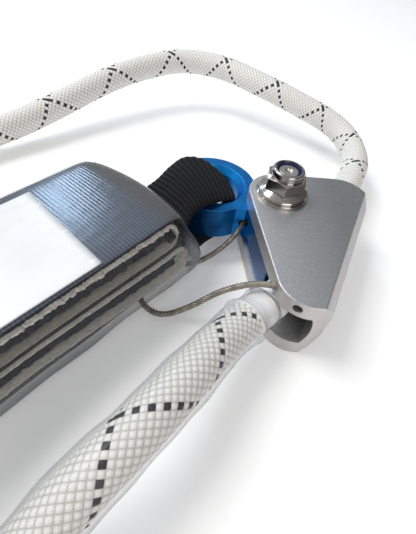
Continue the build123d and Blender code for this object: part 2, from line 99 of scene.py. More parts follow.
def resample(pts, step):
    """Points along a line, step mm apart; step may be a list of (up to this length, step)."""
    seg = np.linalg.norm(np.diff(pts, axis=0), axis=1)
    keep = np.concatenate([[True], seg > 1e-7])
    pts = pts[keep]
    s = np.concatenate([[0], np.cumsum(np.linalg.norm(np.diff(pts, axis=0), axis=1))])
    if not isinstance(step, list):
        step = [(1e9, step)]
    at, pos, start = [], 0.0, 0.0
    for upto, ds in step:
        end = min(upto, s[-1])
        n = max(1, int(round((end - start) / ds)))
        at += list(np.linspace(start, end, n + 1)[(1 if at else 0):])
        start = end
        if end >= s[-1]:
            break
    at = np.array(at)
    return np.stack([np.interp(at, s, pts[:, k]) for k in range(3)], 1), at


def transport(pts, up=(0, 0, 1)):
    """Tangent, normal and binormal along a line, without twist."""
    t = np.gradient(pts, axis=0)
    t /= np.linalg.norm(t, axis=1)[:, None]
    n = np.zeros_like(t)
    u = np.array(up, float)
    n[0] = u - t[0] * (u @ t[0])
    n[0] /= np.linalg.norm(n[0])
    for i in range(1, len(t)):
        v = n[i - 1] - t[i] * (n[i - 1] @ t[i])
        n[i] = v / np.linalg.norm(v)
    return t, n, np.cross(t, n)


def grid_mesh(name, co, uv=None, material=None, caps=True, closed=True):
    """A tube of rows of points, (rows, around, 3) in mm, as an object in metres. uv is (rows, around + 1, 2)."""
    nu, nv = co.shape[:2]
    me = bpy.data.meshes.new(name)
    i = np.arange(nu - 1)[:, None] * nv
    cols = nv if closed else nv - 1
    a = np.arange(cols)[None, :]
    b = (a + 1) % nv
    quads = np.stack([i + a, i + b, i + nv + b, i + nv + a], -1).reshape(-1, 4)
    nq = len(quads)
    me.vertices.add(nu * nv)
    me.vertices.foreach_set("co", (co.reshape(-1, 3) * MM).astype(np.float32).ravel())
    ends = [list(range(nv))[::-1], list(range((nu - 1) * nv, nu * nv))] if caps else []
    loops = np.concatenate([quads.ravel()] + [np.array(e) for e in ends]).astype(np.int32)
    me.loops.add(len(loops))
    me.loops.foreach_set("vertex_index", loops)
    me.polygons.add(nq + len(ends))
    starts = list(np.arange(nq) * 4) + [nq * 4 + k * nv for k in range(len(ends))]
    me.polygons.foreach_set("loop_start", np.array(starts, np.int32))
    me.update(calc_edges=True)
    if uv is not None:
        layer = me.uv_layers.new(name="braid")
        r = np.arange(nu - 1)[:, None] + 0 * a
        c = a + 0 * r
        corner = np.stack([uv[r, c], uv[r, c + 1], uv[r + 1, c + 1], uv[r + 1, c]], 2).reshape(-1, 2)
        full = np.zeros((len(loops), 2), np.float32)
        full[: nq * 4] = corner
        layer.data.foreach_set("uv", full.ravel())
    me.polygons.foreach_set("use_smooth", np.ones(len(me.polygons), bool))
    me.validate()
    ob = link(bpy.data.objects.new(name, me))
    if material:
        me.materials.append(material)
    return ob


def catmull(stations, n):
    """n rows interpolated smoothly through the stations (k, ...)."""
    p = np.array(stations, float)
    k = len(p)
    mid = p.reshape(k, -1)
    d = np.concatenate([[0], np.cumsum(np.linalg.norm(np.diff(mid, axis=0), axis=1) ** 0.5)])
    t = np.linspace(0, d[-1], n)
    out = np.zeros((n, mid.shape[1]))
    tang = np.zeros_like(mid)
    tang[1:-1] = (mid[2:] - mid[:-2]) / (d[2:] - d[:-2])[:, None]
    tang[0], tang[-1] = (mid[1] - mid[0]) / (d[1] - d[0]), (mid[-1] - mid[-2]) / (d[-1] - d[-2])
    for j, x in enumerate(t):
        i = min(max(int(np.searchsorted(d, x)) - 1, 0), k - 2)
        h = d[i + 1] - d[i]
        q = (x - d[i]) / h
        h00, h10 = 2 * q**3 - 3 * q**2 + 1, q**3 - 2 * q**2 + q
        h01, h11 = -2 * q**3 + 3 * q**2, q**3 - q**2
        out[j] = h00 * mid[i] + h10 * h * tang[i] + h01 * mid[i + 1] + h11 * h * tang[i + 1]
    return out.reshape((n,) + p.shape[1:])


def strap(name, right, left, half, pitch=1.65, amp=0.2, cols=26, crown=0.0, step=0.2, edge=0.0, material=None, smooth_stations=True, sharp=8, wobble=0.0, knot=0.0, warp=None):
    """Webbing between a right and a left edge line, in mm, with ribs across it and bulging edge loops."""
    st = np.stack([np.array(right, float), np.array(left, float)], 1)
    rough = catmull(st, 400) if smooth_stations else st
    mid = rough.mean(1)
    s = np.concatenate([[0], np.cumsum(np.linalg.norm(np.diff(mid, axis=0), axis=1))])
    n = max(8, int(s[-1] / step))
    at = np.linspace(0, s[-1], n)
    flat = rough.reshape(len(rough), -1)
    rows = np.stack([np.interp(at, s, flat[:, k]) for k in range(flat.shape[1])], 1).reshape(n, 2, 3)
    x = np.cos(np.linspace(math.pi, 0, cols))
    x = np.sign(x) * np.abs(x) ** 0.8
    v = (x + 1) / 2
    body = rows[:, :1] * (1 - v)[None, :, None] + rows[:, 1:] * v[None, :, None]
    if warp is not None:
        body = warp(body)
    du, dv = np.gradient(body, axis=0), np.gradient(body, axis=1)
    nor = np.cross(du, dv)
    nor /= np.linalg.norm(nor, axis=2)[:, :, None] + 1e-12

    def graded(value):
        return np.interp(np.linspace(0, 1, n), np.linspace(0, 1, len(value)), value) if isinstance(value, (list, tuple)) else np.full(n, float(value))

    cr, half, amp, edge = graded(crown), graded(half)[:, None], graded(amp), graded(edge)
    body = body + nor * (cr[:, None] * (1 - x**2)[None, :])[:, :, None]
    prof = (1 - np.abs(x) ** sharp) ** 0.5
    rib = amp * (np.abs(np.sin(math.pi * at / pitch)) ** 0.8 - 0.5)
    wob = wobble * (np.sin(at * 0.9)[:, None] * np.sin(3.1 * v + 1.0)[None, :] + 0.6 * np.sin(at * 0.37 + 2)[:, None])
    lumps = np.zeros((n, cols))
    if knot:
        raw = np.random.default_rng(7).standard_normal((n, cols))
        kern = np.exp(-0.5 * (np.arange(-8, 9) * step / 0.42) ** 2)
        lumps = np.stack([np.convolve(raw[:, k], kern / kern.sum(), "same") for k in range(cols)], 1)
        lumps *= knot / lumps.std() * (np.abs(edge) / (edge.max() + 1e-9))[:, None]
    thick = (half + rib[:, None] + lumps) * prof[None, :] + wob * prof[None, :]
    low = (half + rib[:, None] + lumps[:, ::-1] * 0.7) * prof[None, :]
    top = body + nor * thick[:, :, None]
    bot = body - nor * low[:, :, None]
    if edge.any():
        side = dv / (np.linalg.norm(dv, axis=2)[:, :, None] + 1e-12)
        uneven = 0.55 + 0.45 * np.sin(at * 1.7 + 0.8 * np.sin(at * 0.43)) * np.sin(at * 0.61 + 1.3)
        loopy = (edge * uneven * np.abs(np.sin(math.pi * at / (pitch * 1.15))))[:, None] + lumps * 0.8
        loopy = loopy * (np.abs(x) ** 6 * np.sign(x))[None, :]
        top = top + side * loopy[:, :, None]
        bot = bot + side * loopy[:, :, None]
    ring = np.concatenate([top, bot[:, -2:0:-1]], 1)
    nv = ring.shape[1]
    vv = np.concatenate([v, v[-2:0:-1], v[:1]])
    uv = np.stack([np.repeat((at / pitch)[:, None], nv + 1, 1), np.repeat(vv[None, :], n, 0)], 2)
    return grid_mesh(name, ring[:, ::-1], uv[:, ::-1], material)


# ------------------------------------------------------------------ materials
class Mat:
    def __init__(self, name, base=(0.5, 0.5, 0.5), rough=0.5, metal=0.0, **more):
        self.m = bpy.data.materials.new(name)
        self.m.use_nodes = True
        self.n, self.l = self.m.node_tree.nodes, self.m.node_tree.links
        self.b = self.n["Principled BSDF"]
        self.set("Base Color", (*base, 1))
        self.set("Roughness", rough)
        self.set("Metallic", metal)
        for k, v in more.items():
            self.set(k.replace("_", " "), v)
        self.co = self.n.new("ShaderNodeTexCoord").outputs["Object"]

    def set(self, key, value):
        self.b.inputs[key].default_value = value

    def put(self, socket, value):
        if isinstance(value, bpy.types.NodeSocket):
            self.l.new(value, socket)
        elif value is not None:
            socket.default_value = value

    def math(self, op, a, b=None, c=None):
        x = self.n.new("ShaderNodeMath")
        x.operation = op
        for k, v in enumerate((a, b, c)):
            self.put(x.inputs[k], v)
        return x.outputs[0]

    def noise(self, scale, detail=3, stretch=None, rough=0.55):
        src = self.co
        if stretch:
            mp = self.n.new("ShaderNodeMapping")
            mp.inputs["Scale"].default_value = stretch
            self.l.new(src, mp.inputs["Vector"])
            src = mp.outputs[0]
        x = self.n.new("ShaderNodeTexNoise")
        x.inputs["Scale"].default_value = scale
        x.inputs["Detail"].default_value = detail
        x.inputs["Roughness"].default_value = rough
        self.l.new(src, x.inputs["Vector"])
        return x.outputs["Fac"]

    def voronoi(self, scale, out="Distance", feature="F1"):
        x = self.n.new("ShaderNodeTexVoronoi")
        x.feature = feature
        x.inputs["Scale"].default_value = scale
        self.l.new(self.co, x.inputs["Vector"])
        return x.outputs[out]

    def ramp(self, fac, *stops):
        x = self.n.new("ShaderNodeValToRGB")
        while len(x.color_ramp.elements) < len(stops):
            x.color_ramp.elements.new(0.5)
        for e, (p, c) in zip(x.color_ramp.elements, stops):
            e.position = p
            e.color = (*c, 1) if len(c) == 3 else c
        self.l.new(fac, x.inputs[0])
        return x.outputs[0]

    def mix(self, fac, a, b, mode="MIX"):
        x = self.n.new("ShaderNodeMix")
        x.data_type = "RGBA"
        x.blend_type = mode
        for k, v in ((0, fac), (6, a), (7, b)):
            if isinstance(v, tuple) and len(v) == 3:
                v = (*v, 1)
            self.put(x.inputs[k], v)
        return x.outputs[2]

    def xyz(self, vec=None):
        x = self.n.new("ShaderNodeSeparateXYZ")
        self.l.new(vec or self.co, x.inputs[0])
        return x.outputs

    def uv(self, name="braid"):
        x = self.n.new("ShaderNodeUVMap")
        x.uv_map = name
        return self.xyz(x.outputs[0])

    def along(self, plane):
        """Distance in mm along a direction of the row frame from the eye's centre."""
        o = self.xyz()
        x = self.math("MULTIPLY", self.math("SUBTRACT", o[0], -0.0263), plane[0] * 1000)
        return self.math("ADD", x, self.math("MULTIPLY", self.math("SUBTRACT", o[1], -0.0011), plane[1] * 1000))

    def soften(self, radius):
        """Rounds hard edges in the shading; returns how much of an edge each place is."""
        x = self.n.new("ShaderNodeBevel")
        x.samples = 4
        x.inputs["Radius"].default_value = radius
        self.l.new(x.outputs[0], self.b.inputs["Normal"])
        d = self.n.new("ShaderNodeVectorMath")
        d.operation = "DOT_PRODUCT"
        self.l.new(x.outputs[0], d.inputs[0])
        self.l.new(self.n.new("ShaderNodeNewGeometry").outputs["Normal"], d.inputs[1])
        return self.math("MINIMUM", self.math("MULTIPLY", self.math("SUBTRACT", 1.0, d.outputs["Value"]), 5.0), 1.0)

    def bump(self, height, strength=0.3, distance=0.0002):
        x = self.n.new("ShaderNodeBump")
        x.inputs["Strength"].default_value = strength
        x.inputs["Distance"].default_value = distance
        self.l.new(height, x.inputs["Height"])
        if self.b.inputs["Normal"].is_linked:
            self.l.new(self.b.inputs["Normal"].links[0].from_socket, x.inputs["Normal"])
        self.l.new(x.outputs[0], self.b.inputs["Normal"])

    def color(self, c):
        self.put(self.b.inputs["Base Color"], c)

    def rough(self, v):
        self.put(self.b.inputs["Roughness"], v)


# bead-blasted aluminium: fine sparkling grain above, plainer on the sides
m = Mat("aluminium", metal=0.86, rough=0.42)
# painted highlight: the bevel mask marks the edges, whose colour is lightened further down
painted_edge_highlight = m.soften(0.0005)
grain = m.noise(4600, 2)
spark = m.voronoi(4200, "Color")
sparkle = m.math("GREATER_THAN", m.xyz(spark)[0], 0.88)
tone = m.ramp(grain, (0.3, (0.46, 0.47, 0.48)), (0.7, (0.84, 0.85, 0.86)))
tone = m.mix(m.math("MULTIPLY", sparkle, 0.55), tone, (0.95, 0.96, 0.97))
o = m.xyz()
# painted light: the flat faces are darkened towards the back right and kept light towards the front left
painted_light_gradient = m.math("ADD", m.math("MULTIPLY", o[0], 18.0), m.math("MULTIPLY", o[1], 9.0))
tone = m.mix(1.0, tone, m.ramp(m.math("ADD", painted_light_gradient, 0.5), (0.1, (1.0, 1.0, 1.0)), (0.9, (0.50, 0.50, 0.50))), "MULTIPLY")
geo = m.n.new("ShaderNodeNewGeometry")
up = m.math("ABSOLUTE", m.xyz(geo.outputs["Normal"])[2])
flat = m.math("GREATER_THAN", up, 0.9)
side = m.ramp(m.noise(900, 4), (0.3, (0.50, 0.475, 0.465)), (0.75, (0.62, 0.595, 0.585)))
# painted highlight: the edges are mixed toward light grey
m.color(m.mix(m.math("MULTIPLY", painted_edge_highlight, 0.4), m.mix(flat, side, tone), (0.80, 0.79, 0.78)))
m.rough(m.math("ADD", 0.33, m.math("MULTIPLY", grain, 0.22)))
m.bump(grain, 0.35, 0.00012)
m.bump(m.noise(700, 3), 0.12, 0.0003)
ALU = m.m


def polished(name, base=(0.44, 0.405, 0.375), rough=0.13):
    m = Mat(name, base=base, metal=1.0, rough=rough)
    m.soften(0.00025)
    n = m.noise(160, 4)
    m.color(m.ramp(n, (0.3, tuple(c * 0.86 for c in base)), (0.7, base)))
    m.rough(m.math("ADD", rough - 0.03, m.math("MULTIPLY", m.noise(420, 3), 0.1)))
    m.bump(m.noise(900, 2, (1, 1, 6)), 0.06, 0.00008)
    return m.m


STEEL = polished("stainless")
m = Mat("bolt_end", metal=1.0, rough=0.3)
o = m.xyz()
rad = m.math("SQRT", m.math("ADD", m.math("MULTIPLY", o[0], o[0]), m.math("MULTIPLY", o[1], o[1])))
rings = m.math("SINE", m.math("MULTIPLY", rad, 21000))
m.color(m.ramp(m.noise(500, 3), (0.3, (0.42, 0.40, 0.38)), (0.7, (0.66, 0.64, 0.61))))
m.bump(rings, 0.25, 0.00005)
BOLT = m.m

m = Mat("nylon_ring", base=(0.012, 0.02, 0.07), rough=0.35)
m.color(m.ramp(m.noise(700, 3), (0.3, (0.008, 0.013, 0.05)), (0.7, (0.02, 0.035, 0.12))))
m.bump(m.noise(1200, 2), 0.1, 0.0001)
NYLON = m.m

# blue anodised aluminium with fine machining marks
m = Mat("anodised_blue", metal=0.75, rough=0.3)
painted_edge_highlight = m.soften(0.0004)
n = m.noise(220, 4)
blue = m.ramp(n, (0.3, (0.0, 0.15, 0.47)), (0.72, (0.0, 0.215, 0.60)))
# painted shadow: the arm beyond y = -10 mm, between the housing plates, is darkened toward a greyish navy
painted_shade = m.ramp(m.math("DIVIDE", m.math("ADD", m.xyz()[1], 0.016), 0.006), (0.0, (0.25, 0.32, 0.34)), (1.0, (1, 1, 1)))
blue = m.mix(1.0, blue, painted_shade, "MULTIPLY")
# painted highlight: the edges are mixed toward a light blue
m.color(m.mix(m.math("MULTIPLY", painted_edge_highlight, 0.5), blue, (0.06, 0.36, 0.80)))
m.rough(m.math("ADD", 0.24, m.math("MULTIPLY", m.noise(1500, 3, (1, 1, 4)), 0.16)))
m.bump(m.noise(1800, 3, (1, 1, 5)), 0.12, 0.0001)
BLUE = m.m

m = Mat("bush_polymer", rough=0.5)
m.color(m.ramp(m.noise(800, 3), (0.3, (0.03, 0.03, 0.032)), (0.7, (0.06, 0.06, 0.065))))
m.bump(m.noise(1500, 2), 0.2, 0.0001)
BUSH = m.m

m = Mat("dark_steel", metal=1.0, rough=0.4)
m.color(m.ramp(m.noise(600, 3), (0.3, (0.07, 0.07, 0.07)), (0.7, (0.16, 0.155, 0.15))))
m.bump(m.noise(1500, 2), 0.2, 0.0001)
DARK = m.m

# twisted steel cable: brownish wires
m = Mat("cable_steel", metal=0.75, rough=0.42)
u = m.uv()
wires = m.math("ABSOLUTE", m.math("SINE", m.math("MULTIPLY", m.math("ADD", m.math("MULTIPLY", u[0], 6.0), m.math("MULTIPLY", u[1], -14.0)), math.pi * 3)))
tone = m.ramp(m.noise(500, 3), (0.3, (0.30, 0.265, 0.21)), (0.7, (0.60, 0.54, 0.45)))
groove = m.math("ABSOLUTE", m.math("COSINE", m.math("MULTIPLY", u[0], math.pi * 6)))
lit = m.math("MULTIPLY", m.math("POWER", groove, 0.6), m.math("ADD", 0.7, m.math("MULTIPLY", wires, 0.3)))
m.color(m.mix(lit, (0.02, 0.016, 0.012), tone))
m.bump(wires, 0.4, 0.00008)
CABLE = m.m


# black ribbed webbing: yarn grain across each rib
def webbing(name, dark, light, yarns=60, rough=0.62, sheen=0.25, gloss=0.5, ribs=0.45, painted_low_shade=None, body=None):
    m = Mat(name, rough=rough, Sheen_Weight=sheen, Sheen_Roughness=0.4)
    m.set("Specular IOR Level", gloss)
    u = m.uv()
    cell = m.math("ABSOLUTE", m.math("SINE", m.math("MULTIPLY", u[1], math.pi * yarns)))
    # painted light and shade: the rib crests are coloured lighter and the troughs darker
    painted_rib_shading = m.math("ABSOLUTE", m.math("SINE", m.math("MULTIPLY", u[0], math.pi)))
    mottled = m.noise(900, 3)
    fac = m.math("ADD", m.math("MULTIPLY", painted_rib_shading, ribs), m.math("ADD", m.math("MULTIPLY", cell, 0.2), m.math("MULTIPLY", mottled, 0.85 - ribs)))
    tone = m.ramp(fac, (0.25, dark), (0.85, light))
    # painted shade: below the given height the tone is darkened by the given factor
    if painted_low_shade:
        high = m.ramp(m.math("DIVIDE", m.math("SUBTRACT", m.xyz()[2], painted_low_shade[0]), 0.004), (0.0, painted_low_shade[1]), (1.0, (1, 1, 1)))
        tone = m.mix(1.0, tone, high, "MULTIPLY")
    if body:
        # painted shade: the strap's middle takes the dark body colour for the shaded gaps between the folds; only the
        # edges keep the lighter tone
        out = m.math("ABSOLUTE", m.math("SUBTRACT", u[1], 0.5))
        edge = m.math("MINIMUM", m.math("MAXIMUM", m.math("MULTIPLY", m.math("SUBTRACT", out, 0.44), 60.0), 0.0), 1.0)
        tone = m.mix(edge, body, tone)
    m.color(tone)
    m.bump(m.math("ADD", cell, m.math("MULTIPLY", mottled, 0.8)), 0.5, 0.00012)
    return m.m


BLACK_WEB = webbing("webbing_black", (0.0006, 0.0006, 0.0008), (0.018, 0.018, 0.021), 44, 0.6, 0.0, 0.10)
BEIGE = webbing("webbing_beige", (0.50, 0.46, 0.39), (1.0, 0.96, 0.88), 30, 0.85, 0.1, 0.2, 0.08, (0.0215, (0.55, 0.56, 0.52)), (0.045, 0.047, 0.055))
# painted shade: a darker copy of the beige for the lower fold
BEIGE_SHADED = webbing("webbing_beige_shaded", (0.42, 0.40, 0.355), (0.78, 0.74, 0.66), 30, 0.85, 0.05, 0.2, 0.08, None, (0.045, 0.047, 0.055))
# painted shade: the core straps are kept near-black so the gaps between the folded limbs read as shaded
CORE = webbing("webbing_core", (0.006, 0.007, 0.010), (0.040, 0.043, 0.052), 22, 0.8, 0.0, 0.2, 0.15)
BOTTOM = webbing("webbing_grey", (0.13, 0.135, 0.14), (0.26, 0.265, 0.27), 40, 0.8, 0.1)

# top strap: slate weave with fine lines parallel to the end edge
U_DIR, W_DIR = (-0.2360, -0.9718), (-0.9718, 0.2360)
m = Mat("webbing_top", rough=0.55, Coat_Weight=1.0, Coat_Roughness=0.16)
m.set("Specular IOR Level", 0.25)
s_mm, w_mm = m.along(U_DIR), m.along(W_DIR)
lines = m.math("ABSOLUTE", m.math("SINE", m.math("MULTIPLY", s_mm, math.pi / 1.15)))
cross = m.math("ABSOLUTE", m.math("SINE", m.math("MULTIPLY", w_mm, math.pi / 0.7)))
mottled = m.noise(500, 3)
fac = m.math("ADD", m.math("MULTIPLY", lines, 0.5), m.math("ADD", m.math("MULTIPLY", cross, 0.15), m.math("MULTIPLY", mottled, 0.35)))
slate = m.ramp(fac, (0.2, (0.030, 0.040, 0.058)), (0.9, (0.095, 0.118, 0.16)))
end = m.ramp(m.math("DIVIDE", m.math("SUBTRACT", s_mm, 30.0), 16.0), (0.25, (1, 1, 1)), (0.8, (0, 0, 0)))
m.color(m.mix(end, slate, m.mix(fac, (0.030, 0.028, 0.030), (0.105, 0.094, 0.088))))
m.bump(m.math("ADD", lines, m.math("MULTIPLY", cross, 0.4)), 0.6, 0.0002)
TOPSTRAP = m.m

m = Mat("label_white", rough=0.45)
m.color(m.ramp(m.noise(60, 3), (0.3, (0.92, 0.92, 0.915)), (0.7, (0.96, 0.96, 0.955))))
m.bump(m.noise(350, 3), 0.1, 0.0002)
LABEL = m.m

m = Mat("thread", rough=0.7)
u = m.uv()
m.color(m.ramp(m.math("ABSOLUTE", m.math("SINE", m.math("MULTIPLY", u[0], math.pi * 2))), (0.1, (0.35, 0.34, 0.32)), (0.9, (0.75, 0.73, 0.69))))
m.bump(m.noise(1500, 2), 0.3, 0.0001)
THREAD = m.m

m = Mat("tie_black", rough=0.6)
m.color(m.ramp(m.noise(700, 3), (0.3, (0.008, 0.008, 0.009)), (0.7, (0.03, 0.03, 0.032))))
m.bump(m.noise(900, 3, (1, 6, 1)), 0.35, 0.0002)
TIE = m.m


# braided sheath: white strands in a plain weave with two tracers crossing
BRAID_N, BRAID_P = 16, 32.0


def sheath(name, light=(0.89, 0.875, 0.835), painted_shade=(0.56, 0.54, 0.49), tracer=(0.010, 0.010, 0.014)):
    m = Mat(name, rough=0.6, Sheen_Weight=0.1, Subsurface_Weight=0.0)
    u = m.uv()
    a = m.math("MULTIPLY", u[0], float(BRAID_N))
    b = m.math("MULTIPLY", u[1], float(BRAID_N))
    ia, ib = m.math("FLOOR", a), m.math("FLOOR", b)
    over = m.math("LESS_THAN", m.math("FLOORED_MODULO", m.math("ADD", ia, ib), 2.0), 0.5)
    under = m.math("SUBTRACT", 1.0, over)
    ta = m.math("MULTIPLY", over, m.math("LESS_THAN", m.math("FLOORED_MODULO", ia, float(BRAID_N)), 0.5))
    tb = m.math("MULTIPLY", under, m.math("LESS_THAN", m.math("FLOORED_MODULO", ib, float(BRAID_N)), 0.5))
    black = m.math("MINIMUM", m.math("ADD", ta, tb), 1.0)
    fa, fb = m.math("FRACT", a), m.math("FRACT", b)
    across = m.math("ADD", m.math("MULTIPLY", over, fa), m.math("MULTIPLY", under, fb))
    along = m.math("ADD", m.math("MULTIPLY", over, fb), m.math("MULTIPLY", under, fa))
    yarn = m.math("ABSOLUTE", m.math("SINE", m.math("MULTIPLY", across, math.pi * 3)))
    round_x = m.math("SINE", m.math("MULTIPLY", across, math.pi))
    round_y = m.math("SINE", m.math("MULTIPLY", along, math.pi))
    high = m.math("POWER", m.math("MULTIPLY", round_x, round_y), 0.7)
    shade = m.math("MULTIPLY", high, m.math("ADD", 0.72, m.math("MULTIPLY", yarn, 0.28)))
    # painted shade: the low places between the strands take the darker colour and the strand tops the light one
    white = m.ramp(shade, (0.05, painted_shade), (0.72, light))
    m.color(m.mix(black, white, tracer))
    m.bump(m.math("ADD", high, m.math("MULTIPLY", yarn, 0.3)), 0.45, 0.0003)
    return m.m


SHEATH = sheath("rope_sheath")
m = Mat("whipping_white", rough=0.35)
m.color(m.ramp(m.noise(300, 3), (0.3, (0.80, 0.80, 0.80)), (0.7, (0.90, 0.90, 0.895))))
m.bump(m.noise(240, 3, (1, 1, 1)), 0.15, 0.0004)
WHIP = m.m


# clear films: thin and glossy, thicker to the eye at a grazing angle
def clear(name, tint, low, high, rough, bump=0.25, scale=90, side=0.0):
    m = Mat(name, base=tint, rough=rough, IOR=1.55)
    m.set("Specular IOR Level", 0.9)
    lw = m.n.new("ShaderNodeLayerWeight")
    lw.inputs["Blend"].default_value = 0.35
    haze = m.math("MULTIPLY", m.noise(45, 3), 0.06)
    a = m.math("ADD", low, m.math("MULTIPLY", m.math("POWER", lw.outputs["Facing"], 2.0), high - low))
    if side:
        # painted shade: the upright faces get more of the dark tint, more so past the straps' ends and below them
        upright = m.math("LESS_THAN", m.math("ABSOLUTE", m.xyz(m.n.new("ShaderNodeNewGeometry").outputs["Normal"])[2]), 0.6)
        below = m.math("MULTIPLY", m.math("SUBTRACT", 0.0085, m.xyz()[2]), 130.0)
        past = m.math("MULTIPLY", m.math("SUBTRACT", 33.0, m.along(U_DIR)), 0.16)
        below, past = (m.math("MINIMUM", m.math("MAXIMUM", v, 0.0), 0.66) for v in (below, past))
        a = m.math("ADD", a, m.math("MULTIPLY", upright, m.math("ADD", side, m.math("ADD", below, past))))
    m.put(m.b.inputs["Alpha"], m.math("MINIMUM", m.math("ADD", a, haze), 0.93))
    m.bump(m.noise(scale, 3), bump, 0.0006)
    return m.m


FILM = clear("clear_film", (0.105, 0.115, 0.125), 0.03, 0.55, 0.27, 0.08, 70, 0.06)
SLEEVE = clear("clear_sleeve", (0.27, 0.265, 0.285), 0.05, 0.88, 0.14, 0.2, 110)

for node, mat in {
    "housing_body": ALU, "pivot_bolt": BOLT, "flat_washer": STEEL, "flange_nut": STEEL, "nut_locking_insert": NYLON,
    "spacer_sleeve": STEEL, "cable_set_screw": DARK, "cable_ferrule": DARK, "cam_lever": BLUE, "lever_bush_lower": BUSH,
    "lever_bush_upper": BUSH,
}.items():
    me = NODES[node].data
    me.materials.clear()
    me.materials.append(mat)
    me.polygons.foreach_set("material_index", np.zeros(len(me.polygons), np.int32))


# ------------------------------------------------------------------ ropes
LONG = [(21.0, 15.2, 12.5), (20.8, 38.6, 12.5), (22.2, 63.4, 12.8), (7.6, 83.5, 16.0), (-16.9, 84.3, 20.7), (-40.3, 85.9, 23.4),
        (-64.3, 90.0, 24.4), (-87.3, 84.3, 23.7), (-102.3, 64.0, 21.0), (-111.3, 42.7, 17.8), (-118.3, 19.8, 13.2),
        (-125.0, -2.7, 9.6), (-133.4, -25.1, 7.8)]
COIL_C = (-210.6, -50.0)
for k in range(0, 46):
    turned = 22.5 * k
    if turned > 1010:
        break
    if turned < 292:
        r, z = 71.0, 7.3
    elif turned < 360:
        r, z = 71.0 - 12.0 * (turned - 292) / 68, 7.3
    elif turned < 655:
        r, z = 59.0, 7.3
    elif turned < 742:
        q = (turned - 655) / 87
        r, z = 59.0 + 6.0 * q, 7.3 + 10.6 * min(1.0, q * 1.5)
    else:
        r, z = 65.0, 17.8
    ang = math.radians(-turned)
    LONG.append((COIL_C[0] + r / 0.981 * math.cos(ang), COIL_C[1] + r / 0.981 * math.sin(ang), z))
LONG += [(COIL_C[0] + 65.6 * math.cos(math.radians(72)), COIL_C[1] + 65.6 * math.sin(math.radians(72)), 19.4),
         (COIL_C[0] + 65 * 0.342 + 3 * 0.94, COIL_C[1] + 65 * 0.940 - 3 * 0.342, 20.2)]
SHORT = [(21.0, -7.0, 12.5), (20.9, -18.4, 12.5), (15.2, -31.3, 12.5), (9.4, -46.2, 12.9), (5.1, -61.1, 15.8), (2.6, -76.1, 19.2),
         (-0.6, -91.5, 20.8), (-5.3, -106.3, 18.8), (-9.2, -120.5, 13.8), (-9.8, -135.3, 9.4), (-6.2, -150.0, 7.8), (2.6, -162.6, 7.75)]


def braid_height(fi, s, crossings, f0):
    """Height of the plain weave at angle fi and length s, from 0 to 1, and the braid's two coordinates.
    The tracers cross at angle f0 at each of the lengths in crossings, and every BRAID_P beyond them."""
    c = np.array(crossings, float)
    turns = np.interp(s, c, np.arange(len(c))) + np.minimum(s - c[0], 0) / BRAID_P + np.maximum(s - c[-1], 0) / BRAID_P
    U = (fi - f0) / (2 * math.pi) + turns + 0.5 / BRAID_N
    V = (fi - f0) / (2 * math.pi) - turns + 0.5 / BRAID_N
    fa, fb = (U * BRAID_N) % 1, (V * BRAID_N) % 1
    return (np.sin(math.pi * fa) * np.sin(math.pi * fb)) ** 0.8, U, V


def rope(name, pts, step, around, s0, f0, material, radius=6.0, height=0.38, plain=None):
    path, at = resample(pts, step)
    t, n, b = transport(path)
    fi = np.linspace(0, 2 * math.pi, around + 1)
    h, U, V = braid_height(fi[None, :], at[:, None], s0, f0)
    r = radius - height + height * h
    if plain is not None:
        k = plain(at)[:, None]
        r = r * (1 - k) + (radius - 0.25) * k
    ring = path[:, None] + r[:, :-1, None] * (np.cos(fi[:-1])[None, :, None] * n[:, None] + np.sin(fi[:-1])[None, :, None] * b[:, None])
    ob = grid_mesh(name, ring, np.stack([U, V], 2), material)
    return ob, path, at


long_pts = spline_points(LONG)
long_rope, long_path, long_at = rope("rope_long", long_pts, [(330.0, 0.45), (1e9, 0.95)], 60, (38.0, 60.0, 84.0, 110.0, 141.5, 173.0, 208.5, 246.0), math.radians(-10), SHEATH)
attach(long_rope, "housing")
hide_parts("rope_long_run", "rope_coil")

short_pts = spline_points(SHORT)
short_rope, short_path, short_at = rope("rope_short", short_pts, 0.4, 72, (17.0, 53.5, 90.5, 127.0), math.radians(58), SHEATH)
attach(short_rope, "housing")
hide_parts("rope_short_run")

channel_rope, _, _ = rope("rope_channel", np.array([(21.0, 15.2, 12.5), (21.0, 4.0, 12.5), (21.0, -7.0, 12.5)]), 0.5, 60, (0.0, 32.0), 0.0, SHEATH)
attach(channel_rope, "housing")
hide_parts("rope_channel_run")


def tube_on(name, pts, s_from, s_to, radius, material, step=0.5, around=48, inner=None, wrinkle=0.0):
    """A tube or closed cap about part of a line; radius is a function of the length along it."""
    path, at = resample(pts, step)
    keep = (at >= s_from) & (at <= s_to)
    path, at = path[keep], at[keep]
    t, n, b = transport(path)
    fi = np.linspace(0, 2 * math.pi, around + 1)[:-1]
    rings = []
    r = radius(at)[:, None] + wrinkle * (np.sin(3 * fi[None, :] + at[:, None] * 0.11) * 0.6 + np.sin(5 * fi[None, :] - at[:, None] * 0.23) * 0.4)
    direction = np.cos(fi)[None, :, None] * n[:, None] + np.sin(fi)[None, :, None] * b[:, None]
    co = path[:, None] + r[:, :, None] * direction
    uv = None
    if inner is not None:
        back = (path[:, None] + np.full_like(r, inner)[:, :, None] * direction)[::-1]
        co = np.concatenate([co, back, co[:1]], 0)
        return grid_mesh(name, co, None, material, caps=False)
    return grid_mesh(name, co, uv, material)


s_total = short_at[-1]
EXIT_S = 36.0


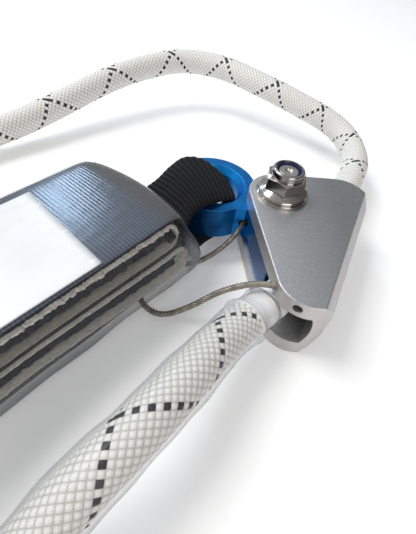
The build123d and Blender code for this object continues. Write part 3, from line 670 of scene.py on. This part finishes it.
def sleeve_r(s):
    x = s - EXIT_S
    r = np.full_like(s, 6.95)
    r = r + 0.30 * np.exp(-((x - 0.6) / 0.9) ** 2)
    r = r - 0.42 * np.exp(-((x - 4.6) / 2.6) ** 2)
    r = r + 0.75 * np.exp(-((x - 9.4) / 1.1) ** 2)
    r = r + 0.18 * np.sin(x * 0.21) + 0.10 * np.sin(x * 0.53 + 1)
    return r


sleeve = tube_on("sleeve", short_pts, EXIT_S - 0.1, s_total - 1.0, sleeve_r, SLEEVE, 0.5, 56, None, 0.12)
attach(sleeve, "housing")
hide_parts("rope_sleeve")
whip = tube_on("rope_whipping", short_pts, EXIT_S - 6.0, EXIT_S + 8.4, lambda s: 6.12 + 0.10 * np.sin((s - EXIT_S) * 1.1), WHIP, 0.4, 56, 5.5, 0.05)
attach(whip, "housing")


def cap(name, path0, direction, length, radius, node):
    """A shrunk end cap with a rounded, slightly waisted end, closed at both ends."""
    d = np.array(direction, float)
    d /= np.linalg.norm(d)
    u = np.cross(d, (0, 0, 1.0))
    u /= np.linalg.norm(u)
    w = np.cross(d, u)
    fi = np.linspace(0, 2 * math.pi, 49)[:-1]
    rows = []
    prof = [(0, radius - 0.35), (0.4, radius - 0.05), (1.2, radius), (length * 0.3, radius - 0.12), (length * 0.7, radius - 0.22), (length - 2.6, radius - 0.25),
            (length - 1.4, radius - 0.7), (length - 0.6, radius - 1.6), (length - 0.15, radius - 2.9), (length, radius - 4.6), (length, radius * 0.1)]
    for x, r in prof:
        rows.append(np.array(path0) + d * x + r * (np.cos(fi)[:, None] * u + np.sin(fi)[:, None] * w))
    ob = grid_mesh(name, np.array(rows), None, TIE)
    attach(ob, "housing")
    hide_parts(node)
    return ob


end_dir = short_path[-1] - short_path[-6]
end_dir[2] = 0
short_cap = cap("rope_cap_short", short_path[-1] - end_dir / np.linalg.norm(end_dir) * 10.5, end_dir, 12.0, 7.5, "rope_short_end")
long_cap = cap("rope_cap_long", (COIL_C[0] + 65 * 0.342, COIL_C[1] + 65 * 0.940, 20.2), (0.9397, -0.3420, 0), 26.0, 6.6, "rope_long_end")

# wound tie about the coil, its turns side by side
tie_c = np.array((-275.6, -50.0, 12.55))
turns, rows = 7, []
fi = np.linspace(0, 2 * math.pi, 73)[:-1]
ys = np.linspace(-7.9, 7.9, 113)
for y in ys:
    bulge = 0.55 * abs(math.sin(math.pi * (y + 7.9) / 15.8 * turns)) ** 0.7
    hx, hz = 12.9 + bulge, 11.75 + bulge
    c, s = np.cos(fi), np.sin(fi)
    ex = 2 / 4.0
    rows.append(np.stack([tie_c[0] + hx * np.sign(c) * np.abs(c) ** ex, np.full_like(c, tie_c[1] + y), tie_c[2] + hz * np.sign(s) * np.abs(s) ** ex], 1))
tie = grid_mesh("coil_wrap", np.array(rows), None, TIE)
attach(tie, "housing")
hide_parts("coil_tie")

long_len = float(np.linalg.norm(np.diff(long_path, axis=0), axis=1).sum()) * MM
short_len = float(np.linalg.norm(np.diff(short_path, axis=0), axis=1).sum()) * MM
print("rope lengths", long_len, short_len)


# ------------------------------------------------------------------ limiting cable
CABLE_ROUTE = [(-9.35, -3.6, 12.5), (-8.6, -11.0, 12.3), (-10.6, -16.6, 8.2), (-14.3, -21.6, 3.5), (-19.2, -27.7, 1.05), (-26.2, -32.6, 1.1),
               (-31.3, -39.0, 1.15), (-31.0, -47.2, 1.1), (-25.6, -53.2, 1.2), (-17.4, -54.4, 1.9), (-9.8, -49.0, 6.4), (-3.6, -43.6, 12.6),
               (2.6, -41.9, 18.6), (8.2, -40.4, 22.0), (14.2, -38.8, 22.1), (19.2, -37.5, 22.1)]
cable_pts = spline_points(CABLE_ROUTE)
path, at = resample(cable_pts, 0.35)
t, n, b = transport(path)
fi = np.linspace(0, 2 * math.pi, 49)
lay = 7.5
phase = fi[None, :] - 2 * math.pi * at[:, None] / lay
r = 0.72 + 0.28 * np.abs(np.cos(3 * phase)) ** 0.7
ring = path[:, None] + r[:, :-1, None] * (np.cos(fi[:-1])[None, :, None] * n[:, None] + np.sin(fi[:-1])[None, :, None] * b[:, None])
uv = np.stack([phase / (2 * math.pi), np.repeat((at / lay)[:, None], 49, 1)], 2)
cable = grid_mesh("cable", ring, uv, CABLE)
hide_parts("safety_cable")
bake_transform(cable)


# ------------------------------------------------------------------ black webbing through the eye
R = [(-22.4, -41.0, 22.0), (-21.6, -32.0, 22.6), (-22.4, -24.0, 22.0), (-21.6, -18.0, 21.2), (-19.6, -13.4, 20.6), (-17.6, -9.8, 19.9),
     (-15.2, -6.4, 18.9), (-17.6, -7.4, 16.2), (-19.3, -7.4, 12.5), (-18.8, -7.4, 8.4), (-17.2, -7.6, 4.9), (-16.8, -10.0, 4.6),
     (-18.0, -14.5, 4.8), (-19.3, -18.5, 4.9), (-20.9, -26.0, 5.0), (-22.2, -33.0, 4.9), (-22.8, -41.0, 4.6)]
L = [(-44.2, -34.0, 22.6), (-42.8, -25.0, 23.4), (-41.6, -18.0, 23.9), (-41.6, -9.0, 24.2), (-40.2, -0.4, 24.2), (-34.8, 4.0, 23.3),
     (-26.6, 2.4, 21.6), (-18.9, -1.2, 18.6), (-19.6, 2.0, 12.5), (-20.9, 4.5, 8.0), (-23.0, 6.2, 4.4), (-31.0, 4.6, 3.6),
     (-38.0, -1.0, 3.5), (-41.2, -8.5, 3.6), (-42.2, -17.0, 3.8), (-43.2, -25.0, 4.0), (-44.4, -34.0, 4.1)]
loop = strap("webbing_loop", R, L, 1.05, pitch=2.2, amp=0.8, cols=30, crown=[0.6, 1.2, 1.6, 1.7, 1.5, 1.0, 0.2, 0.0, 0.0, 0.0, 0.0, 0.0, 0.0, 0.0, 0.0], step=0.16,
             material=BLACK_WEB)
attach(loop, "absorber")
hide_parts("eye_webbing")


# ------------------------------------------------------------------ energy absorber
EYE = np.array((-26.3, -1.1, 0.0))
U3, W3, Z3 = np.array((*U_DIR, 0.0)), np.array((*W_DIR, 0.0)), np.array((0, 0, 1.0))


def P(s, w, z):
    return EYE + s * U3 + w * W3 + z * Z3


W0, W1 = -13.3, 27.9


def end_shift(s, w, z):
    """The pack's end isn't square: how far it is drawn back at width w."""
    back = 3.2 * ((w - 5.0) / 20.4) ** 2 - 1.0 + 1.2 * np.clip((w - 24) / 4, 0, 1) ** 2
    return back * np.clip((46 - s) / 14, 0, 1) * np.clip((z - 6) / 14, 0.25, 1)


def lean(s, w, z):
    """The pack's near side leans out towards the floor close to its end."""
    return -3.2 * np.clip((27 - z) / 18, 0, 1) * np.clip((85 - s) / 45, 0, 1) * np.clip((W0 + 9 - w) / 9, 0, 1)


def laid(s, w, z):
    return P(s + end_shift(s, w, z), w + lean(s, w, z), z)


def laid_all(body):
    q = body - EYE
    s, w, z = q @ U3, q @ W3, q[..., 2]
    return EYE + (s + end_shift(s, w, z))[..., None] * U3 + (w + lean(s, w, z))[..., None] * W3 + z[..., None] * Z3


def sheet(name, line, w0, w1, half, body="absorber", **kw):
    """Webbing of constant width that follows a line of (s, z) points."""
    ob = strap(name, [P(s, w0, z) for s, z in line], [P(s, w1, z) for s, z in line], half, warp=laid_all, **kw)
    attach(ob, body)
    return ob


def u_line(tip, end, z0, z1, t):
    """Middle line of a folded strap: top limb, round end, bottom limb."""
    ro, mid = (z1 - z0) / 2, (z0 + z1) / 2
    r = ro - t / 2
    pts = [(s, z1 - t / 2) for s in np.linspace(end, tip + ro, 16)]
    pts += [(tip + ro - r * math.sin(a), mid + r * math.cos(a)) for a in np.linspace(0.2, math.pi - 0.2, 12)]
    pts += [(s, z0 + t / 2) for s in np.linspace(tip + ro, end, 16)]
    return pts


up_fold = sheet("tear_strap_upper", u_line(31.6, 127.5, 18.4, 29.0, 3.0), W0 + 0.9, W1 - 0.9, [1.42] * 8 + [1.25, 0.8] + [0.62] * 7, pitch=1.05, amp=[0.16] * 8 + [0.08] + [0.04] * 8,
                edge=[0.45] * 8 + [0.25] + [0.08] * 8, cols=22, step=0.2, material=BEIGE, sharp=5, wobble=0.12, knot=0.24)
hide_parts("tear_webbing_upper")
low_fold = sheet("tear_strap_lower", u_line(27.8, 127.5, 6.4, 17.6, 3.0), W0 + 0.9, W1 - 0.9, [0.8] * 7 + [1.0, 1.3, 1.3] + [0.95] * 7, pitch=1.05, amp=0.05, edge=0.14, cols=22, step=0.2, material=BEIGE_SHADED, sharp=5, wobble=0.06, knot=0.09)
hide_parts("tear_webbing_lower")
for name, node, s0, z, half in (("core_upper", "core_strap_upper", 38.0, 23.5, 2.2), ("core_lower", "core_strap_lower", 35.5, 12.0, 2.5)):
    ob = sheet(name, [(s, z + 0.25 * math.sin(s * 0.5)) for s in np.linspace(s0, 127, 30)], W0 + 1.4, W1 - 1.4, half, pitch=3.4, amp=0.16, edge=0.3, cols=20, step=0.4, material=CORE, sharp=4, wobble=0.18, knot=0.12)
    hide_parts(node)
top = sheet("top_strap_woven", [(29.9, 25.2), (30.5, 27.4), (32.0, 29.2), (34.8, 30.3), (38.6, 30.75)] + [(s, 30.8) for s in np.linspace(42, 127, 24)], W0 + 0.7, W1 - 0.7, 0.5, pitch=1.15, amp=0.06, cols=30, step=0.3,
            material=TOPSTRAP, sharp=14)
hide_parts("top_strap")
bot = sheet("bottom_strap_woven", [(s, z) for s, z in ((44, 4.6), (52, 4.7), (60, 4.5), (68, 3.7), (80, 3.4), (95, 3.4), (110, 3.4), (125, 3.4))], W0 + 2.2, W1 - 2.2, 1.9, pitch=1.5, amp=0.2, cols=24, step=0.35,
            material=BOTTOM, sharp=6)
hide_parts("bottom_strap")
lab = strap("label_sheet", [P(62.3 + a * 58.7, -12.0 + 0.6 * a, 31.5) for a in np.linspace(0, 1, 12)], [P(59.6 + a * 60.0, 24.0, 31.5) for a in np.linspace(0, 1, 12)], 0.12, pitch=50.0, amp=0.0, cols=14, step=2.0,
            material=LABEL, sharp=40)
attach(lab, "absorber")
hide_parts("label")


# clear film over the pack: a profile swept across it, drawn in at both sides
def closed_smooth(points, n):
    p = np.array(points, float)
    q = np.concatenate([p[-3:], p, p[:3]], 0)
    fine = catmull(q, 40 * len(q))
    keep_from, keep_to = 40 * 3 * 1.0, 40 * (len(q) - 3)
    d = np.concatenate([[0], np.cumsum(np.linalg.norm(np.diff(q, axis=0), axis=1) ** 0.5)])
    a, b = d[3] / d[-1], d[3 + len(p)] / d[-1]
    fine = fine[int(a * (len(fine) - 1)): int(b * (len(fine) - 1))]
    s = np.concatenate([[0], np.cumsum(np.linalg.norm(np.diff(fine, axis=0), axis=1))])
    at = np.linspace(0, s[-1], n + 1)[:-1]
    return np.stack([np.interp(at, s, fine[:, k]) for k in range(2)], 1)


OUT = [(27.0, 2.6), (23.8, 5.4), (22.9, 10.5), (24.2, 16.0), (27.0, 21.6), (29.4, 26.6), (32.0, 29.9), (36.4, 31.7), (44, 31.95), (56, 31.95), (70, 31.98), (90, 32), (110, 32), (126, 31.9), (132, 29.6),
       (135.4, 25), (136, 18), (135.8, 10), (133.5, 3.6), (127, 0.6), (110, 0.35), (90, 0.35), (72, 0.4), (63, 2.2), (54, 2.9), (44, 2.9), (34, 2.9)]
prof = closed_smooth(OUT, 260)
tan = np.roll(prof, -1, 0) - np.roll(prof, 1, 0)
inward = np.stack([tan[:, 1], -tan[:, 0]], 1)
inward /= np.linalg.norm(inward, axis=1)[:, None]
if ((prof + inward * 0.5 - prof.mean(0)) ** 2).sum() > ((prof - prof.mean(0)) ** 2).sum():
    inward = -inward
rows = []
steps = [(0.0, 2.0), (0.15, 1.3), (0.4, 0.75), (0.8, 0.35), (1.4, 0.1), (2.2, 0.0)]
ws = [(W0 + a, i) for a, i in steps] + [(w, 0.0) for w in np.linspace(W0 + 3.0, W1 - 3.0, 46)] + [(W1 - a, i) for a, i in reversed(steps)]
for w, inset in ws:
    ripple = 0.10 * np.sin(prof[:, 0] * 0.35 + w * 0.5) + 0.08 * np.sin(prof[:, 0] * 0.13 - w * 0.9)
    fold = np.exp(-((prof[:, 0] - 29) / 5.0) ** 2) * 0.35 * math.sin(w * 0.62 + 1.0)
    k = inset + 0.18 + np.abs(ripple) + np.abs(fold) * (inset < 0.1)
    q = prof + inward * np.minimum(k, 4.2)[:, None]
    rows.append([laid(s, w, z) for s, z in q])
film = grid_mesh("film_cover", np.array(rows), None, FILM)
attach(film, "absorber")
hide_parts("absorber_cover")

# far loop for the harness, with its stitching
h_line = [(128.5, 21.75), (140, 21.75), (150, 21.75), (158, 21.75), (163.5, 21.75)]
h_line += [(163.5 + 7.25 * math.sin(a), 14.5 + 7.25 * math.cos(a)) for a in np.linspace(0.25, math.pi - 0.25, 10)]
h_line += [(163.5, 7.25), (158, 7.25), (150, 7.25), (140, 7.25), (128.5, 7.25)]
har = sheet("harness_webbing", h_line, 7.05 - 12.4, 7.05 + 12.4, 1.15, pitch=1.62, amp=0.22, cols=26, step=0.2, material=BLACK_WEB)
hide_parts("harness_loop")
parts = []
for z in (23.25, 5.75):
    for k, w in enumerate(np.linspace(-2.4, 16.5, 7)):
        line = [(137.5 + x, z) for x in np.linspace(0, 10, 21)]
        pts = np.array([P(s, w + (0.9 if i % 2 else -0.9), zz) for i, (s, zz) in enumerate(line)])
        path_s, at_s = resample(pts, 0.35)
        t, n, b = transport(path_s)
        a8 = np.linspace(0, 2 * math.pi, 9)
        ring = path_s[:, None] + 0.28 * (np.cos(a8[:-1])[None, :, None] * n[:, None] + np.sin(a8[:-1])[None, :, None] * b[:, None])
        uv = np.stack([np.repeat((at_s / 1.4)[:, None], 9, 1), np.repeat(a8[None, :] / 6.28, len(at_s), 0)], 2)
        parts.append(grid_mesh("stitch_%d_%d" % (int(z), k), ring, uv, THREAD))
bpy.ops.object.select_all(action="DESELECT")
for o in parts:
    o.select_set(True)
bpy.context.view_layer.objects.active = parts[0]
bpy.ops.object.join()
parts[0].name = "harness_thread"
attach(parts[0], "absorber")
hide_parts("harness_stitching")


# ------------------------------------------------------------------ floor and light
def plane(name, size, z, material):
    me = bpy.data.meshes.new(name)
    h = size / 2
    me.from_pydata([(-h, -h, z), (h, -h, z), (h, h, z), (-h, h, z)], [], [(0, 1, 2, 3)])
    me.materials.append(material)
    return link(bpy.data.objects.new(name, me))


m = Mat("floor", base=(0.93, 0.93, 0.93), rough=0.9)
m.set("Specular IOR Level", 0.1)
m.color(m.ramp(m.noise(3, 2), (0.3, (0.92, 0.92, 0.92)), (0.7, (0.94, 0.94, 0.94))))
m.set("Emission Color", (1, 1, 1, 1))
m.set("Emission Strength", 0.16)
floor = plane("floor", 6.0, -0.0003, m.m)

world = bpy.data.worlds.new("studio")
scene.world = world
world.use_nodes = True
world.node_tree.nodes["Background"].inputs[0].default_value = (0.95, 0.97, 1.0, 1)
wn, wl = world.node_tree.nodes, world.node_tree.links
direction = wn.new("ShaderNodeTexCoord").outputs["Generated"]
side = wn.new("ShaderNodeVectorMath")
side.operation = "DOT_PRODUCT"
side.inputs[1].default_value = (-0.75, 0.05, 0.66)
wl.new(direction, side.inputs[0])
spread = wn.new("ShaderNodeMapRange")
spread.interpolation_type = "SMOOTHSTEP"
for k, v in enumerate((None, -0.5, 1.0, 0.06, 0.62)):
    if v is not None:
        spread.inputs[k].default_value = v
wl.new(side.outputs["Value"], spread.inputs[0])
wl.new(spread.outputs[0], world.node_tree.nodes["Background"].inputs[1])


def area(name, place, target, size, power, color=(1, 1, 1), size_y=None):
    d = bpy.data.lights.new(name, "AREA")
    d.shape = "RECTANGLE"
    d.size, d.size_y = size, size_y or size
    d.energy, d.color = power, color
    o = link(bpy.data.objects.new(name, d))
    o.location = place
    o.rotation_mode = "QUATERNION"
    o.rotation_quaternion = (Vector(target) - Vector(place)).to_track_quat("-Z", "Y")
    return o


area("key", (-0.62, -0.10, 0.85), (0, -0.02, 0), 0.45, 6.2, (1.0, 0.99, 0.97))
area("fill", (0.65, -0.60, 0.6), (0, -0.02, 0), 0.6, 3.9, (1.0, 0.97, 0.95))
area("sheen", (-0.64, 0.45, 0.66), (-0.052, -0.048, 0.03), 0.12, 1.5, (0.50, 0.72, 1.0), 0.20)
